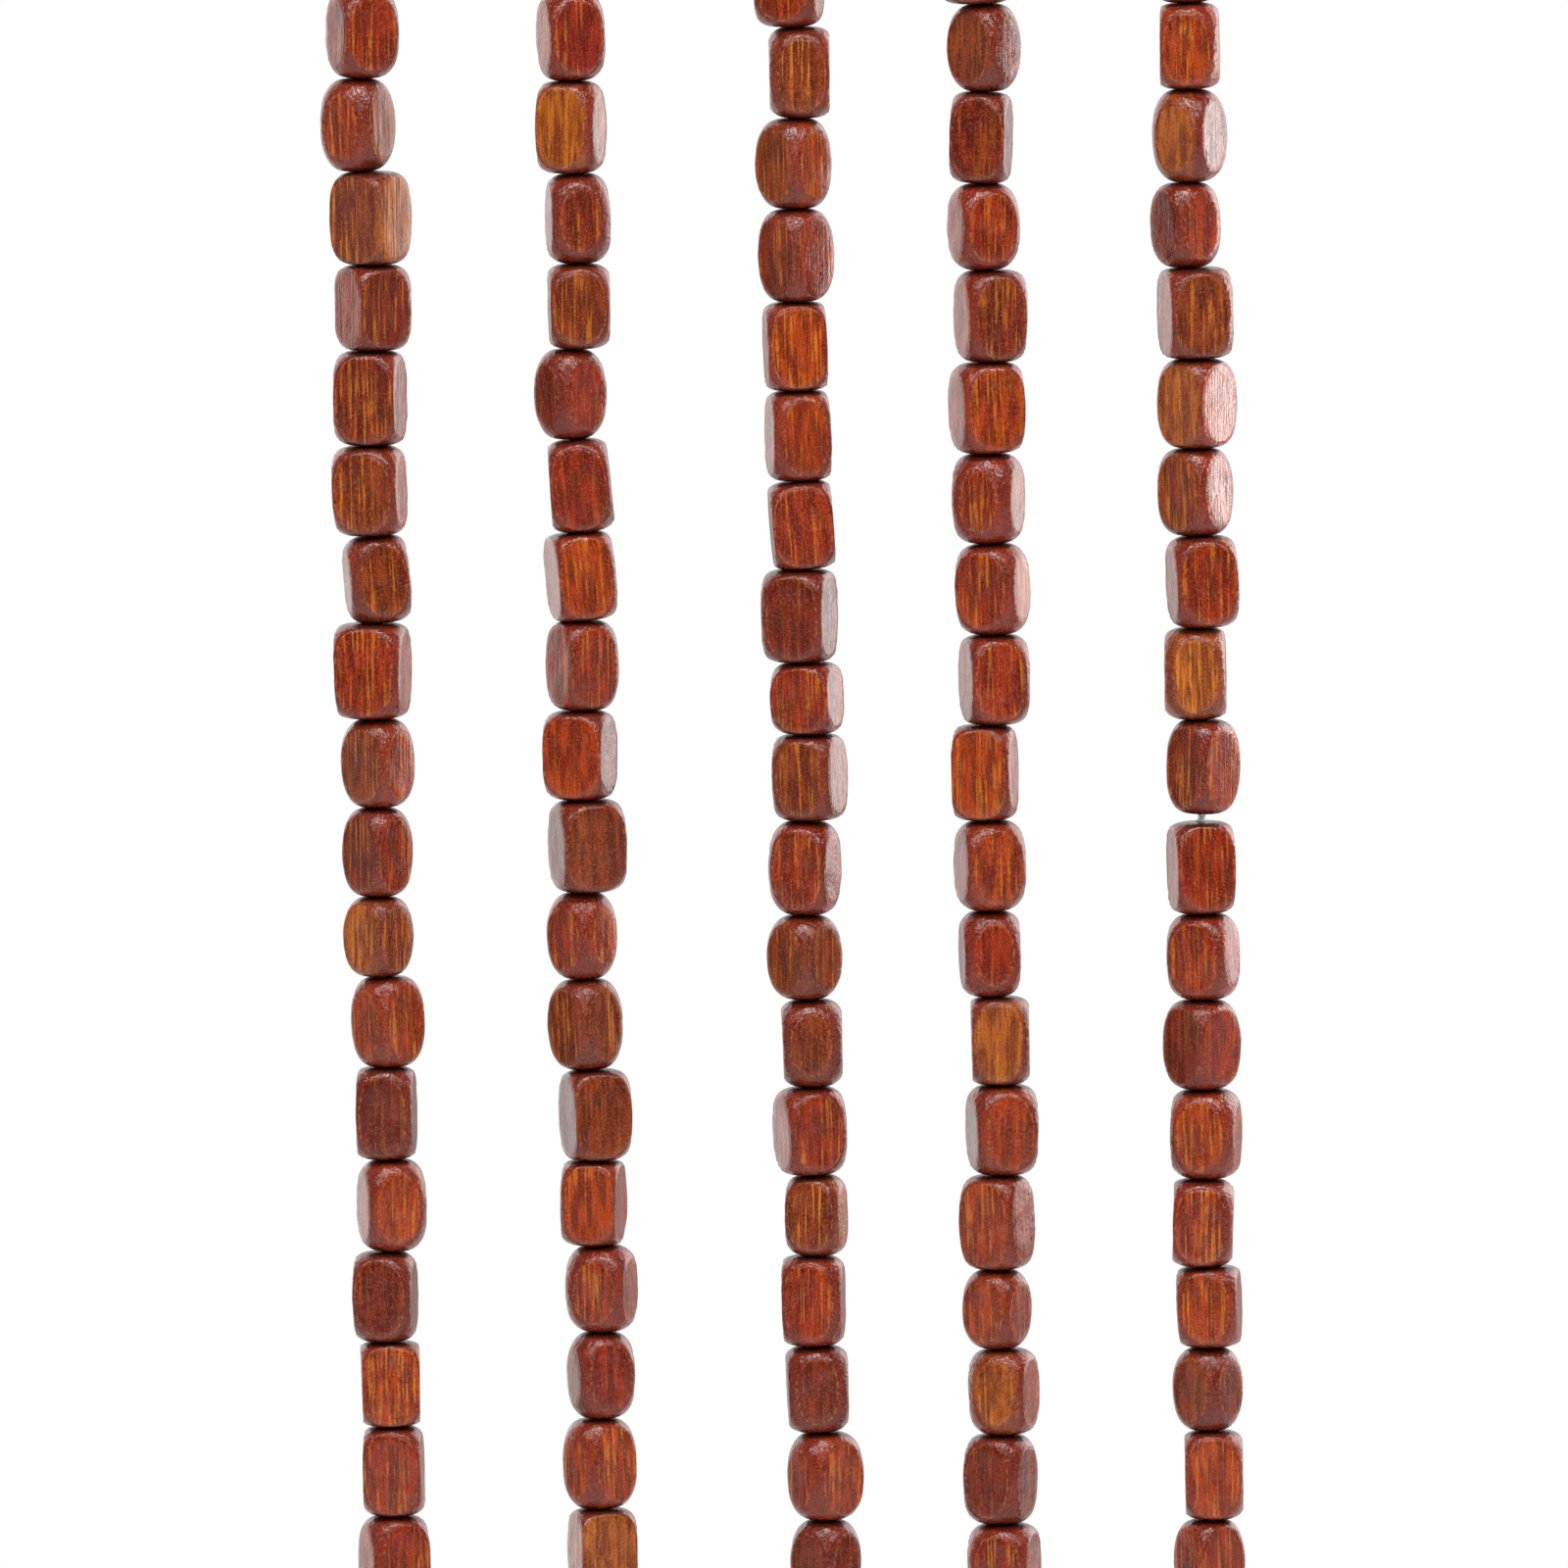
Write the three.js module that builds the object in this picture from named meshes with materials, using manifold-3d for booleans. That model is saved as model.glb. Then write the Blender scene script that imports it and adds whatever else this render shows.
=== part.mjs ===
// A cut length of wooden bead curtain. Five strands of tumbled square beads hang from a plain
// woven heading tape, each tied on by a loop of its own thread through an eyelet in the tape.
// Millimetres, +Z up. The origin is the middle of the tape's top edge, and the front faces -Y.
import * as THREE from "three";
import { mergeVertices } from "three/addons/utils/BufferGeometryUtils.js";
import Module from "manifold-3d";

const wasm = await Module();
wasm.setup();

// Driving dimensions
const CLEARANCE = 0.3; // between pieces that touch on the real curtain
const THREAD_DIAMETER = 0.9;

const TAPE_LENGTH = 116;
const TAPE_HEIGHT = 14;
const TAPE_THICKNESS = 2;
const TAPE_CORNER = 1;
const EYELET_ABOVE_EDGE = 3.85;
const EYELET_DIAMETER = THREAD_DIAMETER + 2 * CLEARANCE + 0.1;
const EYELET_HALF_SIDES = 6;

const TIE_KNOT_DROP = 17; // below the tape's top edge
const KNOT_DIAMETER = 2.4;
const KNOT_HEIGHT = 2.2;
const END_GAP = 0.4; // bare thread between the last bead and its end knot
const TAIL_LENGTH = 4;

const BEAD_END_SHARE = 0.72; // width of a bead's end face over its side
const BEAD_CROWN_SHARE = 1.28; // width across the worn corners at mid length over its side
const BEAD_NECK_SHARE = 1.1; // the same near the ends, where tumbling has rounded them more
const SHOULDER_LENGTH = 1.5; // from a bead's end to its full width
const SIDES = 8; // a square section with its corners worn off
const LOOP_HALF_SIDES = 3;
const LOOP_STEPS = 18;

// The strands from left to right, and their beads from top to bottom, charted bead by bead.
// x: where the strand hangs. drop: from the tape's top edge to the first bead.
// above: how many beads hang over the charted run. length: along the thread. side: across the
// flats. turn: degrees about the thread, seen from above. shift: of the bead, to the right.
const BEADS_ON_A_STRAND = 24;
const STRANDS = [
  {
    x: -45.3,
    drop: 21.2,
    above: 3,
    length: [
      10.1, 10.4, 10.4, 9.6, 10.6, 10.1, 9.8, 10.7, 10,
      10, 9, 10.2, 10.4, 10.4, 10.2, 9.5, 10.2, 10,
    ],
    side: [6.8, 6.7, 6.8, 6.8, 7, 7.2, 6.5, 7.5, 6.5, 6.2, 6.2, 6.4, 6.5, 6.8, 6.7, 6.4, 6.5, 6.7],
    turn: [25, -33, -36, 28, -13, -12, 13, -12, -36, -42, -41, 43, -5, 17, -9, 2, -4, 22],
    shift: [-0.2, -0.9, 0.5, 0.6, -0.1, -0.2, 0.2, -0.4, 0, -0.3, -0.3, 0.4, 0.2, 0.7, -0.3, 0, 0.2, 0],
  },
  {
    x: -22.2,
    drop: 21.8,
    above: 3,
    length: [
      9.9, 10.3, 10.1, 9.5, 10.1, 10.4, 9.9, 10.1, 10,
      10.4, 9.8, 10.2, 10.2, 9.6, 9.8, 9.8, 10.2, 10,
    ],
    side: [6.5, 6.6, 6.7, 6.7, 6.5, 6.7, 6.7, 6.5, 7, 7.2, 6.3, 6.6, 6.8, 6.4, 7, 6.4, 6.5, 6.5],
    turn: [19, -18, 9, 4, 40, 0, 15, 28, -18, 19, -40, 43, 19, -11, -16, 22, 38, 18],
    shift: [-0.1, -0.2, 0.4, 0.3, -1, 0, 0, 0, -0.4, 0.1, -0.5, -0.3, 0.4, 0, 0.7, 0.4, 0, 0.3],
  },
  {
    x: 2.5,
    drop: 26.1,
    above: 2,
    length: [
      10.1, 10.2, 10.1, 10.4, 9.9, 10.1, 9.9, 10.4, 8.1, 9.7,
      10.6, 9.5, 9.9, 9.9, 9.1, 10.2, 9.8, 9.9, 10,
    ],
    side: [7, 6.8, 6.7, 6.6, 6.6, 6.5, 6.8, 7.1, 7, 6.9, 6.8, 6.7, 6.8, 6.9, 6.2, 6.7, 6.7, 6.8, 6.3],
    turn: [-12, 0, -44, -42, 6, 12, 4, -16, -18, -20, -20, 45, 0, 19, -14, -6, 2, 36, -40],
    shift: [
      -0.3, 0.6, 0, -0.3, -0.5, -0.2, 0, -0.6, 0.3, 0.3,
      -0.3, -0.5, 0.2, -0.1, 0.4, -0.2, 0.1, 0.6, 0.7,
    ],
  },
  {
    x: 23.3,
    drop: 24.1,
    above: 3,
    length: [
      9.8, 10.2, 9.7, 10.3, 10.2, 10.1, 10.2, 10.1, 10.7,
      10.2, 9.7, 9.9, 10.2, 10.6, 9, 9.7, 10.1, 10,
    ],
    side: [6.6, 6.4, 6.8, 6.8, 7.1, 7, 6.9, 6.8, 6.5, 6.9, 6.4, 6.3, 7.1, 6.6, 6.3, 6.7, 6.7, 7],
    turn: [-38, -11, 21, 19, 19, -18, -23, 14, -13, 17, 8, 0, 14, -28, -32, -19, -26, -16],
    shift: [
      0.6, -0.1, 0, 0.6, -0.1, 0, 0.5, 0.5, -0.8,
      -0.4, -0.7, 0.4, 0.4, -0.1, -0.3, 0.1, -0.4, -0.2,
    ],
  },
  {
    x: 46.5,
    drop: 24.7,
    above: 3,
    length: [
      9.6, 10.4, 9.5, 10.2, 10, 9.8, 10.3, 10.3, 10.6,
      10.3, 9.7, 10.1, 10.1, 9.9, 9.1, 9.5, 10, 10,
    ],
    side: [6.5, 6.8, 6.2, 7.2, 6.9, 6.5, 7.1, 6.7, 6.4, 6.6, 6.8, 6.8, 7.2, 6.7, 6.7, 6.3, 6.4, 6.3],
    turn: [-4, -32, 32, 13, -38, -38, 12, -3, -41, 12, -22, 44, -12, -2, -8, -38, -1, 35],
    shift: [
      0, -0.3, -0.5, 0.4, 0.1, 0.1, 0.6, -0.3, 0.2,
      0, 0.2, -0.3, 0.1, -0.5, 0.2, -0.1, 0.4, -0.2,
    ],
  },
];
// Where one bead has slipped and leaves its thread bare: the strand, the charted bead above, the gap
const BARE_THREAD = { strand: 4, bead: 8, gap: 0.9 };

const STAINED_WOOD = new THREE.MeshStandardMaterial({ color: 0x7d3a1f, roughness: 0.42, metalness: 0 });
const NATURAL_COTTON = new THREE.MeshStandardMaterial({ color: 0xd9cdb4, roughness: 0.9, metalness: 0 });

// Joins two closed geometries into one.
function fuse(first, second) {
  const solids = [first, second].map((geometry) => {
    geometry.deleteAttribute("normal");
    geometry.deleteAttribute("uv");
    const merged = mergeVertices(geometry, 1e-4);
    return new wasm.Manifold(
      new wasm.Mesh({
        numProp: 3,
        vertProperties: merged.attributes.position.array,
        triVerts: new Uint32Array(merged.index.array),
      }),
    );
  });
  const mesh = solids[0].add(solids[1]).getMesh();
  return new THREE.BufferGeometry()
    .setAttribute("position", new THREE.BufferAttribute(mesh.vertProperties, 3))
    .setIndex(new THREE.BufferAttribute(mesh.triVerts, 1));
}

// A flat tape with rounded corners and one eyelet over each strand.
function headingTape() {
  const right = TAPE_LENGTH / 2;
  const outline = new THREE.Shape();
  outline.moveTo(-right, -TAPE_HEIGHT + TAPE_CORNER);
  outline.absarc(-right + TAPE_CORNER, -TAPE_HEIGHT + TAPE_CORNER, TAPE_CORNER, Math.PI, 1.5 * Math.PI);
  outline.absarc(right - TAPE_CORNER, -TAPE_HEIGHT + TAPE_CORNER, TAPE_CORNER, 1.5 * Math.PI, 2 * Math.PI);
  outline.absarc(right - TAPE_CORNER, -TAPE_CORNER, TAPE_CORNER, 0, Math.PI / 2);
  outline.absarc(-right + TAPE_CORNER, -TAPE_CORNER, TAPE_CORNER, Math.PI / 2, Math.PI);
  for (const { x } of STRANDS) {
    const eyelet = new THREE.Path();
    eyelet.absarc(x, EYELET_ABOVE_EDGE - TAPE_HEIGHT, EYELET_DIAMETER / 2, 0, 2 * Math.PI, true);
    outline.holes.push(eyelet);
  }
  const tape = new THREE.ExtrudeGeometry(outline, {
    depth: TAPE_THICKNESS,
    bevelEnabled: false,
    curveSegments: EYELET_HALF_SIDES,
  });
  return tape.rotateX(Math.PI / 2).translate(0, TAPE_THICKNESS / 2, 0);
}

// A ring of a strand's section: a square of that half width, cut back at its corners to the
// distance `corner` from its middle. Threads and knots are octagons.
function ring(z, half, corner, turn = 0, shift = 0) {
  return { z, half, cut: 2 * half - corner * Math.SQRT2, turn, shift };
}

function roundRing(z, radius) {
  return ring(z, radius * Math.cos(Math.PI / SIDES), radius * Math.cos(Math.PI / SIDES));
}

// The beads of a strand in order from the top, past the charted run by going round the chart,
// with each turn brought within an eighth of the bead above, because the section is square.
function beadsOf(strand, index) {
  const rows = strand.length.length;
  const beads = [];
  let top = -strand.drop;
  for (let i = 0; i < BEADS_ON_A_STRAND; i += 1) {
    const row = (i - strand.above + rows) % rows;
    const before = beads.length ? beads[beads.length - 1].turn : 0;
    const turn = strand.turn[row] + 90 * Math.round((before - strand.turn[row]) / 90);
    const bare = index === BARE_THREAD.strand && row === BARE_THREAD.bead ? BARE_THREAD.gap : 0;
    const bottom = top - strand.length[row];
    beads.push({ top, bottom, turn, bare, side: strand.side[row], shift: strand.shift[row] });
    top = bottom - bare;
  }
  return beads;
}

// The rings of one bead between its two ends, from the bottom up.
function beadRings({ top, bottom, side, turn, shift }) {
  const half = side / 2;
  const crown = half * BEAD_CROWN_SHARE;
  const neck = half * BEAD_NECK_SHARE;
  return [
    ring(bottom + SHOULDER_LENGTH, half, neck, turn, shift),
    ring((top + bottom) / 2, half, crown, turn, shift),
    ring(top - SHOULDER_LENGTH, half, neck, turn, shift),
  ];
}

// The ring where two beads meet, or where the first and the last one end.
function endRing(z, beads) {
  const mean = (key) => beads.reduce((sum, bead) => sum + bead[key], 0) / beads.length;
  const half = (mean("side") / 2) * BEAD_END_SHARE;
  return ring(z, half, half, mean("turn"), mean("shift"));
}

function knotRings(middle) {
  const low = middle - KNOT_HEIGHT / 2;
  const thread = THREAD_DIAMETER / 2;
  return [
    roundRing(low, thread),
    roundRing(low + KNOT_HEIGHT / 4, KNOT_DIAMETER / 2),
    roundRing(low + (3 * KNOT_HEIGHT) / 4, KNOT_DIAMETER / 2),
    roundRing(low + KNOT_HEIGHT, thread),
  ];
}

// All the rings of a strand from its tail up to the knot under the tape.
function strandRings(beads) {
  const thread = THREAD_DIAMETER / 2;
  const lowest = beads[beads.length - 1];
  const endKnot = lowest.bottom - END_GAP - KNOT_HEIGHT / 2;
  const rings = [roundRing(endKnot - KNOT_HEIGHT / 2 - TAIL_LENGTH, thread), ...knotRings(endKnot)];
  rings.push(roundRing(lowest.bottom - CLEARANCE / 2, thread), endRing(lowest.bottom, [lowest]));
  for (let i = beads.length - 1; i >= 0; i -= 1) {
    const bead = beads[i];
    const over = beads[i - 1];
    rings.push(...beadRings(bead));
    if (over && !over.bare) {
      rings.push(endRing(bead.top, [bead, over]));
      continue;
    }
    rings.push(endRing(bead.top, [bead]), roundRing(bead.top + CLEARANCE / 2, thread));
    if (over) rings.push(roundRing(over.bottom - CLEARANCE / 2, thread), endRing(over.bottom, [over]));
  }
  return [...rings, ...knotRings(-TIE_KNOT_DROP)];
}

// A turned body of eight sides whose rings are then set to their own sections.
function beadChain(rings) {
  const lowest = rings[0];
  const highest = rings[rings.length - 1];
  const profile = [
    new THREE.Vector2(0, lowest.z),
    ...rings.map(({ half, z }) => new THREE.Vector2(half, z)),
    new THREE.Vector2(0, highest.z),
  ];
  const chain = new THREE.LatheGeometry(profile, SIDES);
  const place = chain.getAttribute("position");
  for (let i = 0; i <= SIDES; i += 1) {
    const corner = i % SIDES;
    const face = Math.floor(corner / 2);
    const hand = corner % 2 ? 1 : -1;
    profile.forEach(({ x, y: z }, j) => {
      const section = rings[Math.min(Math.max(j - 1, 0), rings.length - 1)];
      const angle = THREE.MathUtils.degToRad(section.turn + 90 * (face - 1));
      const out = x ? section.half : 0;
      const along = x ? hand * (section.half - section.cut) : 0;
      place.setXYZ(
        i * profile.length + j,
        section.shift + out * Math.cos(angle) - along * Math.sin(angle),
        out * Math.sin(angle) + along * Math.cos(angle),
        z,
      );
    });
  }
  return chain;
}

// The loop of thread from the knot, up the front, through the eyelet and down the back.
function tieLoop() {
  const thread = THREAD_DIAMETER / 2;
  const bend = thread + CLEARANCE;
  const face = TAPE_THICKNESS / 2;
  const through = EYELET_ABOVE_EDGE - TAPE_HEIGHT;
  const rim = through - bend;
  const up = [
    [0, -TIE_KNOT_DROP],
    [(face + bend) / 2, (-TIE_KNOT_DROP - TAPE_HEIGHT) / 2],
    [face + bend, -TAPE_HEIGHT],
    [face + bend, rim],
    [face + bend * Math.SQRT1_2, rim + bend * Math.SQRT1_2],
    [face, through],
  ];
  const front = up.map(([y, z]) => new THREE.Vector3(0, -y, z));
  const back = up.map(([y, z]) => new THREE.Vector3(0, y, z)).reverse();
  const section = new THREE.Shape();
  section.absarc(0, 0, thread, 0, 2 * Math.PI);
  return new THREE.ExtrudeGeometry(section, {
    steps: LOOP_STEPS,
    curveSegments: LOOP_HALF_SIDES,
    bevelEnabled: false,
    extrudePath: new THREE.CatmullRomCurve3([...front, ...back]),
  });
}

function named(name, geometry, material) {
  const mesh = new THREE.Mesh(geometry, material);
  mesh.name = name;
  return mesh;
}

const curtain = new THREE.Group();
curtain.add(named("heading_tape", headingTape(), NATURAL_COTTON));
STRANDS.forEach((strand, index) => {
  const chain = beadChain(strandRings(beadsOf(strand, index)));
  const hung = named(`strand_${index + 1}`, fuse(chain, tieLoop()), STAINED_WOOD);
  hung.position.x = strand.x;
  curtain.add(hung);
});

export default curtain;
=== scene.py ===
"""The looks of a cut length of wooden bead curtain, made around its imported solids.

Five strands of tumbled, dyed square beads hang on nylon threads from a cotton heading tape.
Metres, +Z up, the front faces -Y. The frame gives each bead's place, turn, length and side.
"""

import math

import bpy
import numpy as np
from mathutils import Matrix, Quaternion, Vector


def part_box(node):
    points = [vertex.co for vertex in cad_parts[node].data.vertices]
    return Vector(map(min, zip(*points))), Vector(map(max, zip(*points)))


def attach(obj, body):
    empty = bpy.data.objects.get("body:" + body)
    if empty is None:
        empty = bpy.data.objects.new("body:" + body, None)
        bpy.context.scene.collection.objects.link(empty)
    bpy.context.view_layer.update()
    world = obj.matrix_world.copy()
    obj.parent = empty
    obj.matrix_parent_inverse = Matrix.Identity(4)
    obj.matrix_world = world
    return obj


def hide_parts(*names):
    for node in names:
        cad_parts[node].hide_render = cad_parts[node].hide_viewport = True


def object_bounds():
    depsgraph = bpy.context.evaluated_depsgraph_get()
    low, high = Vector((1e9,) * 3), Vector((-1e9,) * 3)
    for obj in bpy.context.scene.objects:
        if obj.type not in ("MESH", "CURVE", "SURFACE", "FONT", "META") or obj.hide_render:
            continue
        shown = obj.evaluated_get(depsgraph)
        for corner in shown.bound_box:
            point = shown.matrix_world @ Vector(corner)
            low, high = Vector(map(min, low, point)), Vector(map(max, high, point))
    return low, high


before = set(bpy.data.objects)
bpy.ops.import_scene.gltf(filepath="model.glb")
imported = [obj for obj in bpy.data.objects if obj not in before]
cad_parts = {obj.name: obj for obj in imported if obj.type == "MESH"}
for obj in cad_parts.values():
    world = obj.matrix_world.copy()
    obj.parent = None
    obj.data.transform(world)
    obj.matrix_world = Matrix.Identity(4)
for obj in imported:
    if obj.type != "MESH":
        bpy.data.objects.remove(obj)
cad_low, cad_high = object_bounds()

MM = 0.001

# Beads
SHOULDER_LENGTH = 1.5 * MM  # from a bead's end to the first full ring of its solid
BEAD_RING_RADIUS = 3 * MM  # only the rings of beads are wider than this
BORE_RADIUS = 0.62 * MM
ROWS_AROUND = 48
ROWS_OUTSIDE = 33
ROWS_IN_BORE = 3
END_REACH = 0.92  # how far round the quarter turn from its waist to its bore a bead's outline goes
CRISP, WORN = 0.0, 1.0
LENGTH_POWER = {CRISP: 5.0, WORN: 4.5}  # how squarely the outline turns at the bead's ends
CROWN_SHARE = {CRISP: 1.36, WORN: 1.26}  # width across the corners over the side
BARREL_SAG = {CRISP: 0.1, WORN: 0.24}  # how much narrower the barrel is at the ends than at its waist
EDGE_SOFTNESS = {CRISP: 0.12 * MM, WORN: 0.2 * MM}
FACE_UNEVENNESS = 0.07  # how far the four flats differ, as a share of the half side
FACE_TAPER = 0.08
BARREL_WANDER = 0.06  # how far the barrel's middle lies off the bar's, as a share of its radius
DENT_HEIGHT = 0.09 * MM
DENTS_PER_MM = 0.45
CORNER_CROWDING = 1.6  # how much closer the mesh's points lie at a bead's corners
CHARTED_WEAR = {"B": 0.8, "K": 0.25}
WEAR_SPREAD = 0.3  # how far a bead's wear differs from its letter in the chart
LEAN_SPREAD = 0.8  # degrees that any bead may tip
LARGEST_SEED = 10

# What each bead's point tells the tree that makes it
BEAD_VALUES = ("length", "side", "turn", "lean", "wear", "seed", "stain_x", "stain_y")

# What a bead's seed is multiplied by for each of its own chances
SEED_TO_WANDER = 9.7
SEED_TO_SKEW = 7.3
SEED_TO_TAPER = 3.1
SEED_TO_GRAIN = (37, 53, 71)  # where in the timber it was cut, in mm

# Thread
THREAD_RADIUS = 0.45 * MM
THREAD_SIDES = 10
PATH_STEPS = 4  # from point to point of a thread's path
PLIES = 2
TWIST_PITCH = 1.1 * MM
KNOT_HEIGHT = 2.2 * MM
KNOT_TURNS = 2.6
KNOT_RADIUS = 0.8 * MM  # of the wound thread's middle
KNOT_STEPS = 12  # in each turn
KNOT_TUCK = 6  # the first and the last of so many parts of a knot run out to its full radius
END_GAP = 0.4 * MM
TIE_KNOT_DROP = 17 * MM
LOOP_CLEARANCE = 0.3 * MM

# Heading tape
EYELET_ABOVE_EDGE = 3.85 * MM
EYELET_RADIUS = 0.85 * MM
EYELET_STITCHES = 18
STITCH_RADIUS = 0.16 * MM
# A stitch's points on one side of the tape: from the eyelet's middle as a share of its radius,
# and over the cloth
STITCH_ARM = ((2.0, -0.05 * MM), (1.55, 0.16 * MM), (1.05, 0.05 * MM))
STITCH_THROUGH = 0.92  # where it goes through the eyelet, as a share of its radius
RIB_PITCH = 1.2 * MM  # between the twill's slanting ribs, along the tape
RIB_CELLS = 6  # mesh cells from rib to rib
RIB_BAND = 3.5 * MM  # height of a band, after which the slant turns round
RIB_HEIGHT = 0.2 * MM
TAPE_WALL = 1.6 * MM  # the cloth between the yarns' crowns
SELVEDGE = 0.5 * MM  # the rounding of the tape's edges
SELVEDGE_THINNING = 0.75

# The photographed part of the curtain, and the camera that shows it
VIEW_TOP = -53.2 * MM
VIEW_HEIGHT = 175.2 * MM
CAMERA_DISTANCE = 2.0
CAMERA_ELEVATION = math.radians(6)
CAMERA_ROLL = math.radians(-1.0)

# How bright the white surround is as light, before and behind the curtain, and its share from below
WORLD_FRONT = 0.08
WORLD_BACK = 1.2
WORLD_BELOW = 0.06
BACK_BEGINS, BACK_IS_FULL = 0.1, 0.8  # how far a direction points to the back
BELOW_IS_FULL, BELOW_ENDS = -0.5, 0.3  # how far it points up

# Soft boxes and panels that face the middle of the view: name, place, size and power
LIGHTS = (
    ("upper left soft box", (-0.65, -0.75, 0.7), (0.2, 0.2), 5.9),
    ("upper right soft box", (0.65, -0.75, 0.7), (0.2, 0.2), 5.9),
    ("overhead soft box", (0, -0.5, 0.85), (0.3, 0.2), 9),
    ("front fill", (0, -1.2, 0.3), (0.3, 0.2), 2.6),
    ("left side fill", (-1, -0.3, 0), (0.8, 1), 1.1),
    ("right side fill", (1, -0.3, 0), (0.8, 1), 1.1),
    ("left panel", (-0.5, 0.65, 0), (0.6, 0.8), 1.8),
    ("right panel", (0.68, 0.52, 0.1), (0.8, 0.8), 6),
)

# A slim light close to the right strand, which glints in the grooves of its beads
STRIP_PLACE = (0.17, 0.038, -0.09)
STRIP_AIM = (0.046, 0, -0.09)
STRIP_SIZE = (0.03, 0.1)
STRIP_POWER = 0.14

FLOOR_COLOUR = (0.86, 0.86, 0.85, 1)
FLOOR_REACH = 4.0
FLOOR_DROP = 0.12  # below the curtain
FLOOR_FADES, FLOOR_IS_GONE = 0.25, 0.75  # distances at which it runs out into the surround

# The wood's dyes, as linear colours, each with how strongly the fibres show through it
STAINS = {
    "c": (0.215, 0.011, 0.007, 0.2),  # crimson
    "m": (0.145, 0.012, 0.004, 0.2),  # maroon
    "r": (0.235, 0.016, 0.003, 0.6),  # russet
    "b": (0.175, 0.026, 0.005, 0.7),  # brown
    "o": (0.300, 0.031, 0.003, 0.75),  # orange
    "g": (0.320, 0.078, 0.008, 0.9),  # golden
}

# What the dye does to the wood, with the painted shade and painted highlight on it, as linear colours
DEEP_DYE = (0.46, 0.36, 0.4, 1)  # the share of a dye's colour where the wood took more of it
PALE_FIBRE = (0.66, 0.22, 0.02, 1)
DARK_PORE = (0.03, 0.005, 0.003, 1)
BRIGHT_SPECK = (0.36, 0.06, 0.012, 1)
DARK_SPECK = (0.045, 0.007, 0.004, 1)
# The rounded parts' darker colour is partly the dye there and partly painted shade on the shoulders and
# at the sides
ROUNDED_DYE_AND_SHADE = (0.14, 0.016, 0.006, 1)  # on what the tumbling has rounded
ROUNDED_BRIGHT_SPECK = (0.3, 0.05, 0.013, 1)
ROUNDED_DARK_SPECK = (0.035, 0.006, 0.004, 1)
# Partly paler wood where the dye is rubbed off, partly a painted highlight along the edges between the
# flats
RUBBED_EDGE_AND_HIGHLIGHT = (0.5, 0.15, 0.04, 1)
# Painted shade at the ends round the bore, in the seams between beads
PAINTED_SEAM_SHADE = (0.02, 0.004, 0.003, 1)

# Marks along the wood's grain: how many to a millimetre across it and along it
DYE_BANDS = (1.1, 1.1, 0.22)
FIBRES = (2.8, 2.8, 0.11)
FINE_FIBRES = (7.0, 7.0, 0.3)
PORES = (4.5, 4.5, 0.35)
BLOTCHES = 0.5
PEBBLES = 1.8
GRIT = 4.6
WOOD_RELIEF = 0.14 * MM

# Nylon and cotton, as linear colours, and their fibres to a metre
DULL_NYLON = (0.84, 0.83, 0.81, 1)
BRIGHT_NYLON = (0.93, 0.93, 0.92, 1)
NYLON_FIBRES = (2500.0, 2500.0, 600.0)
NYLON_RELIEF = 0.12 * MM
NYLON_DEPTH = 1.5 * MM  # how far light gets into it
TAPE_COLOUR = (0.46, 0.37, 0.24, 1)
TAPE_FIBRES = (900.0, 900.0, 900.0)
STITCH_COLOUR = (0.52, 0.44, 0.31, 1)
STITCH_FIBRES = (1500.0, 1500.0, 1500.0)
PALER_FIBRE = 1.18  # its brightness over the yarn's
SLUB_COLOUR = (0.34, 0.26, 0.16, 1)
SLUBS = 260.0
COTTON_RELIEF = 0.1 * MM

# The beads of each strand in the chart's order from top to bottom. above: how many beads hang
# over the charted run, past which the chart goes round again. stains: the dye on the left and the
# right face that the front shows. wear: B for a worn, barrel-like bead, K for a crisp one.
# leans: degrees that a bead tips, with its lower end to the right, by its place in the chart.
STRANDS = (
    {
        "node": "strand_1",
        "above": 3,
        "stains": "rr rb bg rm mr bo rb rr bo mr gb oo mm ro mm oo rr rr",
        "wear": "BBKKKKBKBBBBKBBKKB",
        "leans": {6: 4},
    },
    {
        "node": "strand_2",
        "above": 3,
        "stains": "rc gr rm rb mr rm ro rr om mb ro bb mb or rr mr oo rg",
        "wear": "BKBBBKKKKKBBKKBBBK",
        "leans": {5: 4, 6: 4},
    },
    {
        "node": "strand_3",
        "above": 2,
        "stains": "rr bo bo mr oo ro rr mm rr bb rr bb bm rr bg rr mm ro mm",
        "wear": "BBBBKKKKBKBBBKBKBBB",
        "leans": {6: 3},
    },
    {
        "node": "strand_4",
        "above": 3,
        "stains": "bm mm rr rm ro rr ro br or ro cr gb mo or or gr mm rr",
        "wear": "BKBKKBBKKBBKBKBBKK",
        "leans": {1: -2.5},
    },
    {
        "node": "strand_5",
        "above": 3,
        "stains": "oo gm mr rb gr br rr gg mr rr rr mr or ro or bm or rr",
        "wear": "KBBKKKKBBKBBBKKBKB",
        "leans": {8: -2},
    },
)


class Value:
    """An output in a node tree that can be reckoned with like a number."""

    def __init__(self, tree, socket):
        self.tree = tree
        self.socket = socket

    def reckon(self, operation, *others):
        return reckon(self.tree, operation, self, *others)

    def __add__(self, other):
        return self.reckon("ADD", other)

    def __sub__(self, other):
        return self.reckon("SUBTRACT", other)

    def __rsub__(self, other):
        return reckon(self.tree, "SUBTRACT", other, self)

    def __mul__(self, other):
        return self.reckon("MULTIPLY", other)

    def __truediv__(self, other):
        return self.reckon("DIVIDE", other)

    def __rtruediv__(self, other):
        return reckon(self.tree, "DIVIDE", other, self)

    def __pow__(self, other):
        return self.reckon("POWER", other)

    def __abs__(self):
        return self.reckon("ABSOLUTE")


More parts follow.
